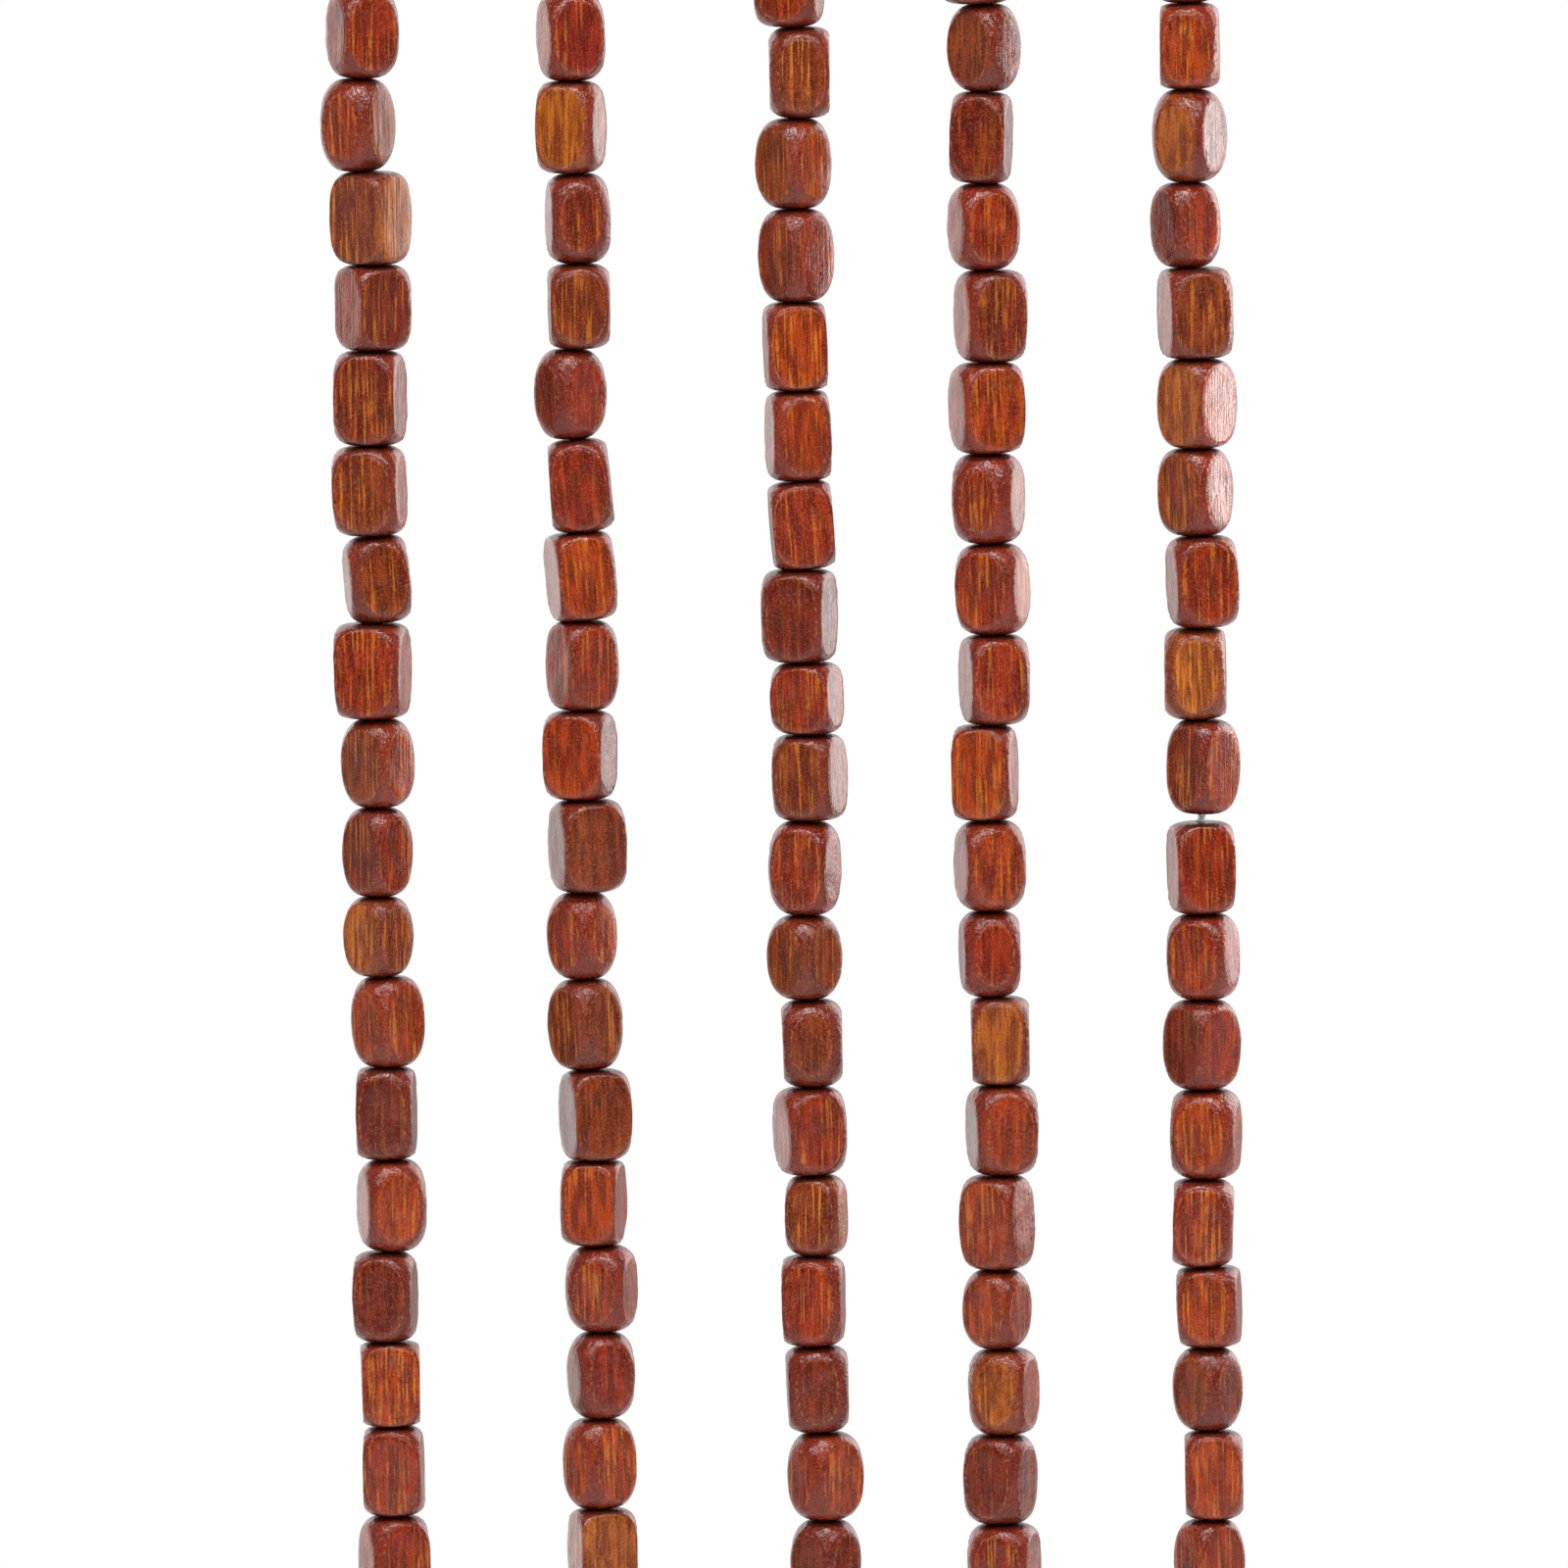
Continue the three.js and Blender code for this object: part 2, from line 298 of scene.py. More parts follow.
def plug(value, socket):
    """Links a value of the tree to a socket, or sets a plain one on it."""
    if isinstance(value, Value):
        value.tree.links.new(value.socket, socket)
    else:
        socket.default_value = value


def reckon(tree, operation, *values):
    node = tree.nodes.new("ShaderNodeMath")
    node.operation = operation
    for value, socket in zip(values, node.inputs):
        plug(value, socket)
    return Value(tree, node.outputs[0])


def add(tree, kind, inputs=None, output=0, **settings):
    """Adds a node with these settings and inputs, and gives one of its outputs."""
    node = tree.nodes.new(kind)
    for name, setting in settings.items():
        setattr(node, name, setting)
    for name, value in (inputs or {}).items():
        plug(value, node.inputs[name])
    return Value(tree, node.outputs[output])


def between(crisp_and_worn, wear):
    """The value for a bead that is worn this much, from those of a crisp and a worn one."""
    low, high = crisp_and_worn[CRISP], crisp_and_worn[WORN]
    return wear * (high - low) + low


def attribute(tree, name, data_type="FLOAT"):
    return add(tree, "GeometryNodeInputNamedAttribute", {"Name": name}, data_type=data_type)


def store(tree, geometry, name, value, data_type="FLOAT"):
    return add(
        tree,
        "GeometryNodeStoreNamedAttribute",
        {"Geometry": geometry, "Name": name, "Value": value},
        data_type=data_type,
        domain="POINT",
    )


def new_tree(name, inputs):
    """A geometry tree with one geometry in and out and named inputs, and its input values."""
    tree = bpy.data.node_groups.new(name, "GeometryNodeTree")
    tree.interface.new_socket("Geometry", in_out="INPUT", socket_type="NodeSocketGeometry")
    tree.interface.new_socket("Geometry", in_out="OUTPUT", socket_type="NodeSocketGeometry")
    for label, kind in inputs.items():
        tree.interface.new_socket(label, in_out="INPUT", socket_type=kind)
    given = tree.nodes.new("NodeGroupInput")
    return tree, {socket.name: Value(tree, socket) for socket in given.outputs if socket.name}


def finish_tree(tree, geometry, material):
    """Ends a tree: real geometry, smooth, in its material."""
    whole = add(tree, "GeometryNodeRealizeInstances", {"Geometry": geometry})
    smooth = add(tree, "GeometryNodeSetShadeSmooth", {"Geometry": whole})
    dressed = add(tree, "GeometryNodeSetMaterial", {"Geometry": smooth, "Material": material})
    plug(dressed, tree.nodes.new("NodeGroupOutput").inputs[0])
    return tree


def ring_curve(tree, points, radius, name, share):
    """A closed curve whose points know how far along it they are."""
    circle = add(
        tree, "GeometryNodeCurvePrimitiveCircle", {"Resolution": points, "Radius": radius}, mode="RADIUS"
    )
    return store(tree, circle, name, add(tree, "GeometryNodeInputIndex") / share)


def bead_tree():
    """Sets a drilled square bead on each point: a square bar cut by a barrel, worn at its edges."""
    inputs = {
        "Bore Radius": "NodeSocketFloat",
        "Dent Height": "NodeSocketFloat",
        "Material": "NodeSocketMaterial",
    }
    tree, given = new_tree("strung beads", inputs)
    # The blank is a ring round a ring of any size, because every point is placed anew. That turns
    # it inside out, so its faces are flipped first.
    rows = ROWS_OUTSIDE + ROWS_IN_BORE
    blank = add(
        tree,
        "GeometryNodeCurveToMesh",
        {
            "Curve": ring_curve(tree, ROWS_AROUND, 1.0, "around", ROWS_AROUND / 4),
            "Profile Curve": ring_curve(tree, rows, 0.2, "along", ROWS_OUTSIDE - 1),
        },
    )
    blank = add(tree, "GeometryNodeFlipFaces", {"Mesh": blank})
    position = add(tree, "GeometryNodeInputPosition")
    centres = store(tree, given["Geometry"], "place", position, "FLOAT_VECTOR")
    strung = add(tree, "GeometryNodeInstanceOnPoints", {"Points": centres, "Instance": blank})
    beads = add(tree, "GeometryNodeRealizeInstances", {"Geometry": strung})

    around = attribute(tree, "around")
    along = attribute(tree, "along")
    wear = attribute(tree, "wear")
    seed = attribute(tree, "seed")
    half_length = attribute(tree, "length") / 2
    half_side = attribute(tree, "side") / 2

    # Each point belongs to the nearest of the four flats, and points crowd towards the corners.
    face = (around + 0.5).reckon("FLOOR")
    from_middle = around - face
    to_corner = 1 - abs(from_middle) * 2
    swing = (1 - to_corner**CORNER_CROWDING) * from_middle.reckon("SIGN") * math.radians(45)
    angle = face * math.radians(90) + swing

    # The outline from end to end of the barrel, then back through the bore.
    rise = (along - 0.5) * (math.pi * END_REACH)
    power = between(LENGTH_POWER, wear)
    out = abs(rise.reckon("COSINE"))
    up = abs(rise.reckon("SINE"))
    reach = (out**power + up**power) ** (-1 / power)
    height = up * reach * rise.reckon("SIGN")
    wander = (angle + seed * SEED_TO_WANDER).reckon("COSINE") * BARREL_WANDER + 1
    sag = 1 - between(BARREL_SAG, wear) * height * height
    barrel = half_side * between(CROWN_SHARE, wear) * out * reach * sag * wander
    in_bore = along.reckon("GREATER_THAN", 1.001)
    back = (along - 1) * ((ROWS_OUTSIDE - 1) / (ROWS_IN_BORE + 1))
    height = in_bore * (1 - back * 2 - height) + height

    own_face = face - (face / 4).reckon("FLOOR") * 4
    chance = seed * SEED_TO_SKEW + own_face
    stands_out = add(tree, "ShaderNodeTexWhiteNoise", {"W": chance}, noise_dimensions="1D")
    chance = seed * SEED_TO_TAPER + own_face + 0.5
    tapers = add(tree, "ShaderNodeTexWhiteNoise", {"W": chance}, noise_dimensions="1D")
    skew = (stands_out - 0.5) * FACE_UNEVENNESS + (tapers - 0.5) * height * FACE_TAPER + 1
    flat = half_side * skew / swing.reckon("COSINE")
    outside = barrel.reckon("SMOOTH_MIN", flat, between(EDGE_SOFTNESS, wear))

    def spot(radius):
        parts = {
            "X": radius * angle.reckon("COSINE"),
            "Y": radius * angle.reckon("SINE"),
            "Z": height * half_length,
        }
        return add(tree, "ShaderNodeCombineXYZ", parts)

    # Shallow dents, and a bore that stays round.
    cut = {axis: seed * share for axis, share in zip("XYZ", SEED_TO_GRAIN)}
    scatter = add(tree, "ShaderNodeCombineXYZ", cut)
    grain = add(
        tree,
        "ShaderNodeVectorMath",
        {0: spot(outside), 1: (1 / MM,) * 3, 2: scatter},
        operation="MULTIPLY_ADD",
    )
    dents = add(tree, "ShaderNodeTexNoise", {"Vector": grain, "Scale": DENTS_PER_MM, "Detail": 2.0})
    dented = outside + (dents - 0.5) * given["Dent Height"] * 2
    radius = in_bore * (given["Bore Radius"] - dented) + dented
    radius = radius.reckon("MAXIMUM", given["Bore Radius"])

    by_turn = {"Vector": spot(radius), "Angle": attribute(tree, "turn")}
    turned = add(tree, "ShaderNodeVectorRotate", by_turn, rotation_type="Z_AXIS")
    by_lean = {"Vector": turned, "Angle": attribute(tree, "lean")}
    tipped = add(tree, "ShaderNodeVectorRotate", by_lean, rotation_type="Y_AXIS")
    centre = attribute(tree, "place", "FLOAT_VECTOR")
    place = add(tree, "ShaderNodeVectorMath", {0: tipped, 1: centre}, operation="ADD")

    side_face = (own_face / 2).reckon("FRACT") * 2
    stain = tree.nodes.new("ShaderNodeMix")
    stain.data_type = "RGBA"
    plug(side_face, stain.inputs["Factor"])
    plug(attribute(tree, "stain_x", "FLOAT_COLOR"), stain.inputs[6])
    plug(attribute(tree, "stain_y", "FLOAT_COLOR"), stain.inputs[7])

    kept = store(tree, beads, "grain", grain, "FLOAT_VECTOR")
    kept = store(tree, kept, "cut_depth", (barrel - flat) / MM)
    kept = store(tree, kept, "end_share", abs(height))
    kept = store(tree, kept, "stain", Value(tree, stain.outputs[2]), "FLOAT_COLOR")
    shaped = add(tree, "GeometryNodeSetPosition", {"Geometry": kept, "Position": place})
    return finish_tree(tree, shaped, given["Material"])


def tube_tree():
    """Draws a round thread of one radius along each line of edges."""
    inputs = {"Radius": "NodeSocketFloat", "Material": "NodeSocketMaterial"}
    tree, given = new_tree("thread along a path", inputs)
    line = add(tree, "GeometryNodeMeshToCurve", {"Mesh": given["Geometry"]})
    eased = add(tree, "GeometryNodeCurveSplineType", {"Curve": line}, spline_type="CATMULL_ROM")
    fine = add(tree, "GeometryNodeSetSplineResolution", {"Geometry": eased, "Resolution": PATH_STEPS})
    reach = add(tree, "GeometryNodeSplineParameter", output=1)
    marked = store(tree, fine, "reach", reach)
    section = ring_curve(tree, THREAD_SIDES, given["Radius"], "around", THREAD_SIDES)
    tube = add(
        tree, "GeometryNodeCurveToMesh", {"Curve": marked, "Profile Curve": section, "Fill Caps": True}
    )
    return finish_tree(tree, tube, given["Material"])


def grown(name, mesh, tree, inputs, spent=()):
    """A piece with the plain mesh that a tree makes from a mesh, without its spent attributes."""
    seedling = bpy.data.objects.new(name + "_seedling", mesh)
    bpy.context.scene.collection.objects.link(seedling)
    modifier = seedling.modifiers.new("growth", "NODES")
    modifier.node_group = tree
    for item in tree.interface.items_tree:
        if item.in_out == "INPUT" and item.name in inputs:
            modifier[item.identifier] = inputs[item.name]
    depsgraph = bpy.context.evaluated_depsgraph_get()
    made = bpy.data.meshes.new_from_object(seedling.evaluated_get(depsgraph), depsgraph=depsgraph)
    bpy.data.objects.remove(seedling)
    for attribute_name in spent:
        if attribute_name in made.attributes:
            made.attributes.remove(made.attributes[attribute_name])
    made.name = name
    return linked(name, made)


def linked(name, mesh):
    piece = bpy.data.objects.new(name, mesh)
    bpy.context.scene.collection.objects.link(piece)
    return piece


def points_of(mesh):
    flat = np.zeros(len(mesh.vertices) * 3)
    mesh.vertices.foreach_get("co", flat)
    return flat.reshape(-1, 3)


def strung_beads(node):
    """The beads of a strand's solid from the top: their middles, lengths, sides and turns."""
    points = points_of(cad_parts[node].data)
    levels = np.round(points[:, 2], 5)
    rings = []
    for level in np.unique(levels)[::-1]:
        ring = np.unique(np.round(points[levels == level], 6), axis=0)
        middle = (ring.min(0) + ring.max(0)) / 2
        arms = (ring - middle)[:, :2]
        if np.hypot(*arms.T).max() > BEAD_RING_RADIUS:
            rings.append((ring.mean(0), arms))
    beads = []
    for upper, waist, lower in zip(rings[0::3], rings[1::3], rings[2::3]):
        middle, arms = waist
        corners = np.exp(4j * np.arctan2(arms[:, 1], arms[:, 0])).sum()
        turn = np.angle(-corners) / 4
        across = arms[:, 0] * math.cos(turn) + arms[:, 1] * math.sin(turn)
        beads.append(
            {
                "place": middle,
                "length": upper[0][2] - lower[0][2] + 2 * SHOULDER_LENGTH,
                "side": 2 * across.max(),
                "turn": turn,
            }
        )
    return beads


def bead_points(strand, beads, seed):
    """One point for each bead, with what the tree needs to know about it."""
    draw = np.random.default_rng(seed)
    chart = strand["stains"].split()
    columns = {name: [] for name in BEAD_VALUES}
    for i, bead in enumerate(beads):
        row = (i - strand["above"]) % len(chart)
        left, right = (STAINS[letter] for letter in chart[row])
        if bead["turn"] > 0:
            left, right = right, left
        lean = strand["leans"].get(row, 0) + draw.uniform(-LEAN_SPREAD, LEAN_SPREAD)
        wear = CHARTED_WEAR[strand["wear"][row]] + draw.uniform(-WEAR_SPREAD, WEAR_SPREAD)
        columns["length"].append(bead["length"])
        columns["side"].append(bead["side"])
        columns["turn"].append(bead["turn"])
        columns["lean"].append(-math.radians(lean))
        columns["wear"].append(wear)
        columns["seed"].append(draw.uniform(0, LARGEST_SEED))
        columns["stain_x"].append(right)
        columns["stain_y"].append(left)
    mesh = bpy.data.meshes.new("bead places")
    mesh.from_pydata([bead["place"] for bead in beads], [], [])
    for name, values in columns.items():
        if name.startswith("stain"):
            mesh.attributes.new(name, "FLOAT_COLOR", "POINT").data.foreach_set("color", np.ravel(values))
        else:
            mesh.attributes.new(name, "FLOAT", "POINT").data.foreach_set("value", values)
    return mesh


def path_mesh(paths):
    """Lines of edges through these lists of points."""
    points = [point for path in paths for point in path]
    edges = []
    start = 0
    for path in paths:
        edges += [(start + i, start + i + 1) for i in range(len(path) - 1)]
        start += len(path)
    mesh = bpy.data.meshes.new("paths")
    mesh.from_pydata(points, edges, [])
    return mesh


def knot_path(x, middle):
    """A few tight turns of thread round itself."""
    steps = int(KNOT_TURNS * KNOT_STEPS)
    path = []
    for i in range(steps + 1):
        share = i / steps
        radius = KNOT_RADIUS * min(1.0, KNOT_TUCK * share, KNOT_TUCK * (1 - share))
        angle = 2 * math.pi * KNOT_TURNS * share
        rise = (share - 0.5) * (KNOT_HEIGHT - 2 * THREAD_RADIUS)
        path.append((x + radius * math.cos(angle), radius * math.sin(angle), middle + rise))
    return path


def loop_path(x, tape_low, face):
    """From the tie knot up the front of the tape, through its eyelet and down the back."""
    bend = THREAD_RADIUS + LOOP_CLEARANCE
    through = tape_low + EYELET_ABOVE_EDGE
    rim = through - bend
    up = [
        (0, -TIE_KNOT_DROP),
        ((face + bend) / 2, (tape_low - TIE_KNOT_DROP) / 2),
        (face + bend, tape_low),
        (face + bend, rim),
        (face + bend * math.sqrt(0.5), rim + bend * math.sqrt(0.5)),
        (face, through),
    ]
    return [(x, -y, z) for y, z in up] + [(x, y, z) for y, z in reversed(up)]


def thread_paths(node, beads):
    """A strand's thread: its tail, its run through the beads, both knots and the loop."""
    low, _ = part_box(node)
    tape_low, tape_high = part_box("heading_tape")
    last = beads[-1]
    end_knot = last["place"][2] - last["length"] / 2 - END_GAP - KNOT_HEIGHT / 2
    hang = strand_x(node)
    run = [(hang, 0, -TIE_KNOT_DROP)]
    for bead in beads:
        x, y, z = bead["place"]
        run += [(x, y, z + bead["length"] / 3), (x, y, z - bead["length"] / 3)]
    run += [(last["place"][0], 0, end_knot), (last["place"][0], 0, low.z)]
    return [
        run,
        knot_path(hang, -TIE_KNOT_DROP),
        knot_path(last["place"][0], end_knot),
        loop_path(hang, tape_low.z, tape_high.y),
    ]


def strand_x(node):
    """Where a strand's thread hangs: the middle of its tie loop, its solid's highest part."""
    points = points_of(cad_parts[node].data)
    top = points[points[:, 2] > -TIE_KNOT_DROP + KNOT_HEIGHT]
    return (top[:, 0].min() + top[:, 0].max()) / 2


def rib_height(x, z):
    """How far the ribs of a herringbone twill stand out of the cloth."""
    zigzag = np.abs((z / RIB_BAND) % 2 - 1) * RIB_BAND
    return RIB_HEIGHT * np.sqrt(0.5 + 0.5 * np.cos(2 * math.pi * (x + zigzag) / RIB_PITCH))


def woven_tape(eyelets):
    """A cotton tape in herringbone twill, with a hole for each eyelet."""
    low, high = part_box("heading_tape")
    cell = RIB_PITCH / RIB_CELLS
    across = np.linspace(low.x, high.x, round((high.x - low.x) / cell) + 1)
    down = np.linspace(low.z, high.z, round((high.z - low.z) / cell) + 1)
    x, z = np.meshgrid(across, down)
    points = np.stack([x, np.zeros_like(x), z], axis=-1).reshape(-1, 3)
    columns = len(across)
    faces = []
    for i in range(len(down) - 1):
        for j in range(columns - 1):
            middle = Vector((across[j] + cell / 2, down[i] + cell / 2))
            if any((middle - eyelet).length < EYELET_RADIUS for eyelet in eyelets):
                continue
            corner = i * columns + j
            faces.append((corner, corner + 1, corner + columns + 1, corner + columns))
    sheet = bpy.data.meshes.new("flat tape")
    sheet.from_pydata(points.tolist(), [], faces)
    tape = linked("heading_tape_cloth", sheet)
    wall = tape.modifiers.new("wall", "SOLIDIFY")
    wall.thickness = TAPE_WALL
    wall.offset = 0
    depsgraph = bpy.context.evaluated_depsgraph_get()
    cloth = bpy.data.meshes.new_from_object(tape.evaluated_get(depsgraph), depsgraph=depsgraph)
    tape.modifiers.clear()
    tape.data = cloth

    points = points_of(cloth)
    x, y, z = points.T
    from_edge = np.minimum(np.minimum(x - low.x, high.x - x), np.minimum(z - low.z, high.z - z))
    short = 1 - (from_edge / SELVEDGE).clip(0, 1)
    rounding = np.sqrt(1 - SELVEDGE_THINNING * short**2)
    points[:, 1] = (y + np.sign(y) * rib_height(x, z)) * rounding
    cloth.vertices.foreach_set("co", points.ravel())
    cloth.shade_smooth()
    return tape


def stitch_paths(eyelets, face):
    """Stitches over the rim of each eyelet, from the front to the back."""
    paths = []
    for eyelet in eyelets:
        for i in range(EYELET_STITCHES):
            angle = 2 * math.pi * i / EYELET_STITCHES
            arms = [(share, -face - height) for share, height in STITCH_ARM]
            arms += [(STITCH_THROUGH, 0)]
            arms += [(share, face + height) for share, height in reversed(STITCH_ARM)]
            path = []
            for share, y in arms:
                out = share * EYELET_RADIUS
                path.append((eyelet.x + out * math.cos(angle), y, eyelet.y + out * math.sin(angle)))
            paths.append(path)
    return paths


def new_material(name):
    material = bpy.data.materials.new(name)
    material.use_nodes = True
    tree = material.node_tree
    shader = tree.nodes["Principled BSDF"]
    return material, tree, shader


def streak_group():
    """Fine marks drawn out along one direction: wood fibres, pores, spun yarn."""
    group = bpy.data.node_groups.new("streaks", "ShaderNodeTree")
    sockets = {
        "Vector": "NodeSocketVector",
        "Stretch": "NodeSocketVector",
        "Low": "NodeSocketFloat",
        "High": "NodeSocketFloat",
    }
    for label, kind in sockets.items():
        group.interface.new_socket(label, in_out="INPUT", socket_type=kind)
    for label in ("Mask", "Height"):
        group.interface.new_socket(label, in_out="OUTPUT", socket_type="NodeSocketFloat")
    given = group.nodes.new("NodeGroupInput")
    vector, stretch, low, high = (Value(group, socket) for socket in given.outputs[:4])
    drawn = add(group, "ShaderNodeVectorMath", {0: vector, 1: stretch}, operation="MULTIPLY")
    coarse = {"Vector": drawn, "Scale": 1.0, "Detail": 1.0, "Roughness": 0.5}
    noise = add(group, "ShaderNodeTexNoise", coarse)
    mask = add(
        group,
        "ShaderNodeMapRange",
        {"Value": noise, "From Min": low, "From Max": high},
        interpolation_type="SMOOTHSTEP",
    )
    result = group.nodes.new("NodeGroupOutput")
    plug(mask, result.inputs["Mask"])
    plug(noise, result.inputs["Height"])
    return group


def streaks(tree, group, vector, stretch, low, high):
    """The mask and the height of such marks, with as many to a unit of length as stretch says."""
    node = tree.nodes.new("ShaderNodeGroup")
    node.node_tree = group
    for name, value in {"Vector": vector, "Stretch": stretch, "Low": low, "High": high}.items():
        plug(value, node.inputs[name])
    return Value(tree, node.outputs["Mask"]), Value(tree, node.outputs["Height"])


def blend(tree, factor, first, second, kind="MIX"):
    """One colour blended into another."""
    node = tree.nodes.new("ShaderNodeMix")
    node.data_type = "RGBA"
    node.blend_type = kind
    for value, socket in zip((factor, first, second), (node.inputs[0], node.inputs[6], node.inputs[7])):
        plug(value, socket)
    return Value(tree, node.outputs[2])


def ramp(tree, value, low, high, start=0.0, end=1.0):
    """Goes smoothly from start to end as the value goes from low to high."""
    limits = {"Value": value, "From Min": low, "From Max": high, "To Min": start, "To Max": end}
    return add(tree, "ShaderNodeMapRange", limits, interpolation_type="SMOOTHSTEP")


def stained_wood(group):
    """Open-grained wood under dye and worn lacquer: streaked on the flats, darker where rounded, with
    painted shade there and at the ends, and a painted highlight along the edges.
    """
    material, tree, shader = new_material("stained_bead_wood")
    grain = add(tree, "ShaderNodeAttribute", attribute_name="grain", output=1)
    stain = add(tree, "ShaderNodeAttribute", attribute_name="stain")
    showing = add(tree, "ShaderNodeAttribute", attribute_name="stain", output=3)
    depth = add(tree, "ShaderNodeAttribute", attribute_name="cut_depth", output=2)
    end = add(tree, "ShaderNodeAttribute", attribute_name="end_share", output=2)

    blotch = add(tree, "ShaderNodeTexNoise", {"Vector": grain, "Scale": BLOTCHES, "Detail": 3.0})
    sand = {"Vector": grain, "Scale": GRIT, "Detail": 3.0, "Roughness": 0.6}
    grit = add(tree, "ShaderNodeTexNoise", sand)
    pebble = add(tree, "ShaderNodeTexNoise", {"Vector": grain, "Scale": PEBBLES, "Detail": 1.5})
    taken, _ = streaks(tree, group, grain, DYE_BANDS, 0.4, 0.64)
    fibre, fibre_height = streaks(tree, group, grain, FIBRES, 0.54, 0.64)
    fine, fine_height = streaks(tree, group, grain, FINE_FIBRES, 0.5, 0.66)
    pores, _ = streaks(tree, group, grain, PORES, 0.58, 0.68)

    # On the flats the dye lies in bands, and fibres and pores show through it.
    deep = blend(tree, 1.0, stain, DEEP_DYE, "MULTIPLY")
    bright = blend(tree, 0.7, stain, PALE_FIBRE)
    dyed = blend(tree, taken, deep, stain)
    in_blotches = ramp(tree, blotch, 0.36, 0.6, 0.25, 1.0)
    streaked = blend(tree, fibre * showing * in_blotches, dyed, bright)
    streaked = blend(tree, fine * showing * 0.25, streaked, bright)
    streaked = blend(tree, pores * 0.5, streaked, DARK_PORE)
    streaked = blend(tree, ramp(tree, grit, 0.5, 0.7, 0, 0.4), streaked, BRIGHT_SPECK)
    streaked = blend(tree, ramp(tree, grit, 0.5, 0.34, 0, 0.55), streaked, DARK_SPECK)

    # On the rounded parts it is darker, partly from the dye and partly as painted shade, and speckled.
    rounded = blend(tree, 0.55, dyed, ROUNDED_DYE_AND_SHADE)
    speckled = blend(tree, ramp(tree, grit, 0.5, 0.7, 0, 0.5), rounded, ROUNDED_BRIGHT_SPECK)
    speckled = blend(tree, ramp(tree, grit, 0.48, 0.34, 0, 0.7), speckled, ROUNDED_DARK_SPECK)

    # Between them the edge is paler here and there, partly where the dye is rubbed off and partly as a
    # painted highlight, and round the bore the end is darkened as painted shade in the seams between
    # beads.
    on_flat = ramp(tree, depth + (grit - 0.5) * 0.4, -0.05, 0.17)
    colour = blend(tree, on_flat * 0.9, speckled, streaked)
    near_edge = depth + (grit - 0.5) * 0.3
    rubbed_and_highlit = ramp(tree, near_edge, -0.06, 0.03) * ramp(tree, near_edge, 0.18, 0.05)
    colour = blend(tree, rubbed_and_highlit * ramp(tree, pebble, 0.46, 0.62, 0, 0.35), colour, RUBBED_EDGE_AND_HIGHLIGHT)
    # Painted shade in the seams: the bead's ends round the bore are darkened
    colour = blend(tree, ramp(tree, end, 0.86, 1.0, 0, 0.85), colour, PAINTED_SEAM_SHADE)
    plug(colour, shader.inputs["Base Color"])

    plug(ramp(tree, grit, 0.3, 0.7, 0.12, 0.3), shader.inputs["Roughness"])
    shader.inputs["Specular IOR Level"].default_value = 0.36
    rough_skin = pebble + grit * 0.3
    fibres = fibre_height * 0.34 + fine_height * 0.1 - pores * 0.06 + rough_skin * 0.25
    height = rough_skin + on_flat * (fibres - rough_skin)
    relief = {"Height": height, "Strength": 0.9, "Distance": WOOD_RELIEF}
    plug(add(tree, "ShaderNodeBump", relief), shader.inputs["Normal"])
    return material


def nylon(group):
    """White nylon of many fibres, twisted."""
    material, tree, shader = new_material("nylon_thread")
    around = add(tree, "ShaderNodeAttribute", attribute_name="around", output=2)
    reach = add(tree, "ShaderNodeAttribute", attribute_name="reach", output=2)
    twist = ((around * PLIES + reach * (1 / TWIST_PITCH)) * (2 * math.pi)).reckon("SINE")
    place = add(tree, "ShaderNodeTexCoord", output=3)
    fuzz, fuzz_height = streaks(tree, group, place, NYLON_FIBRES, 0.4, 0.7)
    plug(blend(tree, fuzz, DULL_NYLON, BRIGHT_NYLON), shader.inputs["Base Color"])
    shader.inputs["Roughness"].default_value = 0.42
    shader.inputs["Subsurface Weight"].default_value = 0.8
    shader.inputs["Subsurface Radius"].default_value = (1, 1, 1)
    shader.inputs["Subsurface Scale"].default_value = NYLON_DEPTH
    shader.inputs["Transmission Weight"].default_value = 0.45
    height = twist * 0.5 + fuzz_height * 0.4
    relief = {"Height": height, "Strength": 0.7, "Distance": NYLON_RELIEF}
    plug(add(tree, "ShaderNodeBump", relief), shader.inputs["Normal"])
    return material


def cotton(group, name, colour, stretch):
    """Undyed spun cotton."""
    material, tree, shader = new_material(name)
    place = add(tree, "ShaderNodeTexCoord", output=3)
    fibre, fibre_height = streaks(tree, group, place, stretch, 0.35, 0.7)
    slub = add(tree, "ShaderNodeTexNoise", {"Vector": place, "Scale": SLUBS, "Detail": 2.0})
    pale = tuple(min(1.0, part * PALER_FIBRE) for part in colour[:3]) + (1,)
    yarn = blend(tree, fibre, colour, pale)
    uneven = blend(tree, ramp(tree, slub, 0.4, 0.7, 0, 0.4), yarn, SLUB_COLOUR)
    plug(uneven, shader.inputs["Base Color"])
    shader.inputs["Roughness"].default_value = 0.9
    shader.inputs["Sheen Weight"].default_value = 0.25
    shader.inputs["Sheen Roughness"].default_value = 0.5
    relief = {"Height": fibre_height, "Strength": 0.5, "Distance": COTTON_RELIEF}
    plug(add(tree, "ShaderNodeBump", relief), shader.inputs["Normal"])
    return material


def dress(piece, node):
    """Puts a piece in the place of a solid."""
    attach(piece, "root")
    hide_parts(node)


def area_light(name, place, aim, size, power):
    light = bpy.data.lights.new(name, "AREA")
    light.shape = "RECTANGLE"
    light.size, light.size_y = size
    light.energy = power
    lamp = linked(name, light)
    lamp.visible_camera = False
    lamp.location = place
    lamp.rotation_euler = (Vector(aim) - Vector(place)).to_track_quat("-Z", "Y").to_euler()


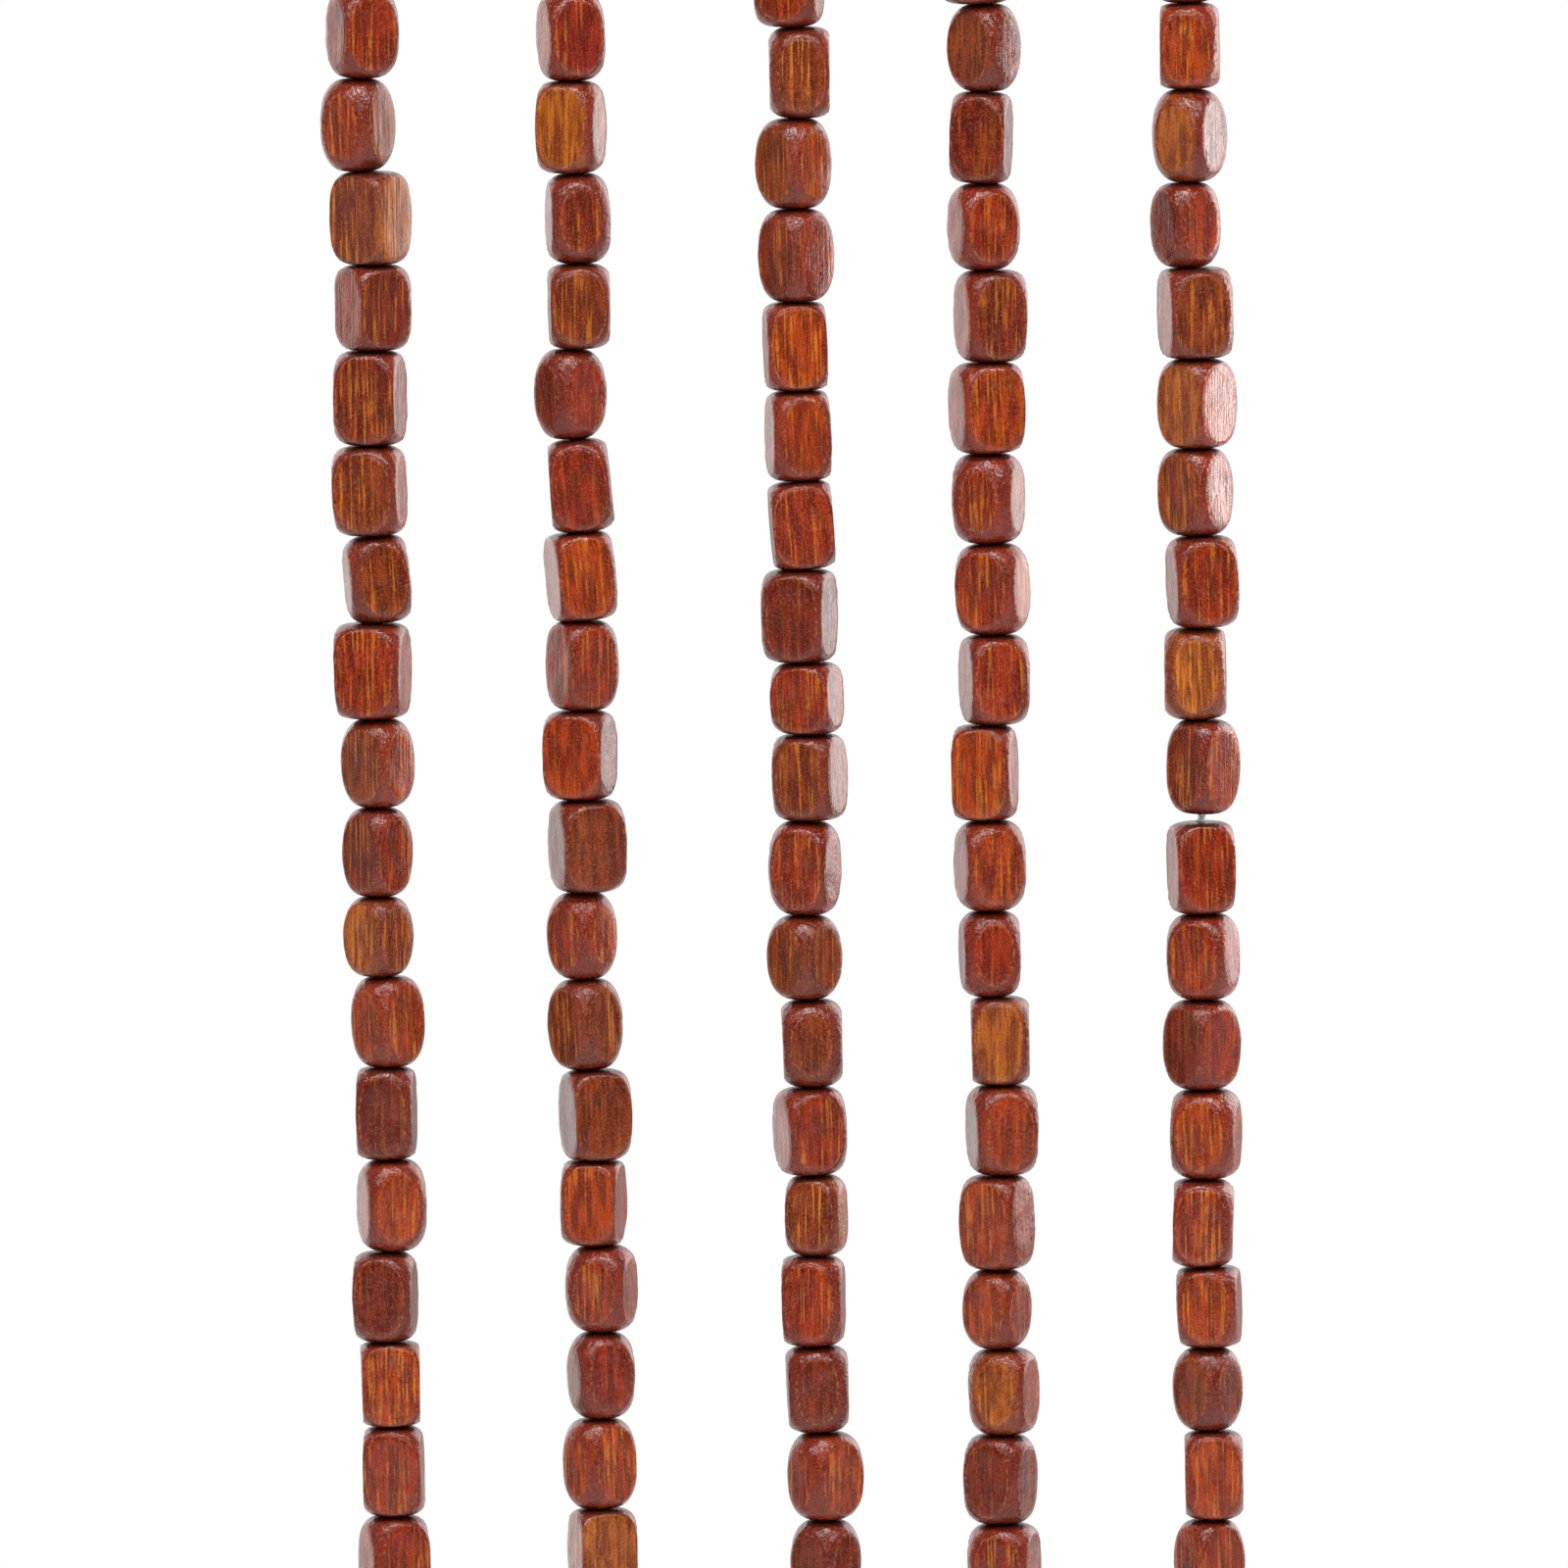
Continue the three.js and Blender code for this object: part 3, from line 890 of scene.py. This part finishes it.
def white_world():
    """A surround that looks white. As light it is bright behind the curtain and dim before it."""
    world = bpy.data.worlds.new("white surround")
    bpy.context.scene.world = world
    world.use_nodes = True
    tree = world.node_tree
    background = tree.nodes["Background"]
    background.inputs["Color"].default_value = (1, 1, 1, 1)
    seen = add(tree, "ShaderNodeLightPath")
    towards = tree.nodes.new("ShaderNodeSeparateXYZ")
    plug(add(tree, "ShaderNodeTexCoord", output=0), towards.inputs[0])
    back, up = (Value(tree, socket) for socket in towards.outputs[1:])
    behind = ramp(tree, back, BACK_BEGINS, BACK_IS_FULL, WORLD_FRONT, WORLD_BACK)
    lit = behind * ramp(tree, up, BELOW_IS_FULL, BELOW_ENDS, WORLD_BELOW, 1.0)
    plug(seen * (1 - lit) + lit, background.inputs["Strength"])


def pale_floor(low):
    """A pale floor below the curtain that runs out into the white surround."""
    mesh = bpy.data.meshes.new("floor")
    signs = [(-1, -1), (1, -1), (1, 1), (-1, 1)]
    corners = [(x * FLOOR_REACH, y * FLOOR_REACH, low.z - FLOOR_DROP) for x, y in signs]
    mesh.from_pydata(corners, [], [(0, 1, 2, 3)])
    floor = linked("floor", mesh)
    material, tree, shader = new_material("floor_paint")
    shader.inputs["Base Color"].default_value = FLOOR_COLOUR
    shader.inputs["Roughness"].default_value = 0.8
    place = add(tree, "ShaderNodeTexCoord", output=3)
    far = add(tree, "ShaderNodeVectorMath", {0: place}, output=1, operation="LENGTH")
    glow = tree.nodes.new("ShaderNodeEmission")
    mix = tree.nodes.new("ShaderNodeMixShader")
    seen = add(tree, "ShaderNodeLightPath")
    plug(ramp(tree, far, FLOOR_FADES, FLOOR_IS_GONE) * seen, mix.inputs[0])
    tree.links.new(shader.outputs[0], mix.inputs[1])
    tree.links.new(glow.outputs[0], mix.inputs[2])
    tree.links.new(mix.outputs[0], tree.nodes["Material Output"].inputs[0])
    mesh.materials.append(material)


def photo_camera(aim):
    """A long lens that shows the view's height, a little from above."""
    back = Vector((0, -math.cos(CAMERA_ELEVATION), math.sin(CAMERA_ELEVATION)))
    lens = bpy.data.cameras.new("camera")
    lens.lens = lens.sensor_width * CAMERA_DISTANCE / VIEW_HEIGHT
    camera = linked("camera", lens)
    camera.location = aim + back * CAMERA_DISTANCE
    camera.rotation_mode = "QUATERNION"
    camera.rotation_quaternion = (-back).to_track_quat("-Z", "Y") @ Quaternion((0, 0, 1), CAMERA_ROLL)
    bpy.context.scene.camera = camera


marks = streak_group()
wood = stained_wood(marks)
thread_nylon = nylon(marks)
tape_cotton = cotton(marks, "tape_cotton", TAPE_COLOUR, TAPE_FIBRES)
stitch_cotton = cotton(marks, "stitch_cotton", STITCH_COLOUR, STITCH_FIBRES)
beads_tree = bead_tree()
thread_tree = tube_tree()

for number, strand in enumerate(STRANDS, start=1):
    strung = strung_beads(strand["node"])
    beads = grown(
        f"beads_{number}",
        bead_points(strand, strung, seed=number),
        beads_tree,
        {"Bore Radius": BORE_RADIUS, "Dent Height": DENT_HEIGHT, "Material": wood},
        spent=("around", "along", "place") + BEAD_VALUES,
    )
    dress(beads, strand["node"])
    thread = grown(
        f"thread_{number}",
        path_mesh(thread_paths(strand["node"], strung)),
        thread_tree,
        {"Radius": THREAD_RADIUS, "Material": thread_nylon},
    )
    dress(thread, strand["node"])

tape_low, tape_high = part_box("heading_tape")
eyelets = [Vector((strand_x(strand["node"]), tape_low.z + EYELET_ABOVE_EDGE)) for strand in STRANDS]
tape = woven_tape(eyelets)
tape.data.materials.append(tape_cotton)
dress(tape, "heading_tape")
stitches = grown(
    "eyelet_stitches",
    path_mesh(stitch_paths(eyelets, TAPE_WALL / 2)),
    thread_tree,
    {"Radius": STITCH_RADIUS, "Material": stitch_cotton},
)
dress(stitches, "heading_tape")

white_world()
pale_floor(cad_low)
middle = Vector((0, 0, VIEW_TOP - VIEW_HEIGHT / 2))
for name, place, size, power in LIGHTS:
    area_light(name, place, middle, size, power)
area_light("right strip", STRIP_PLACE, STRIP_AIM, STRIP_SIZE, STRIP_POWER)
photo_camera(middle)
bpy.context.scene.view_settings.view_transform = "Standard"
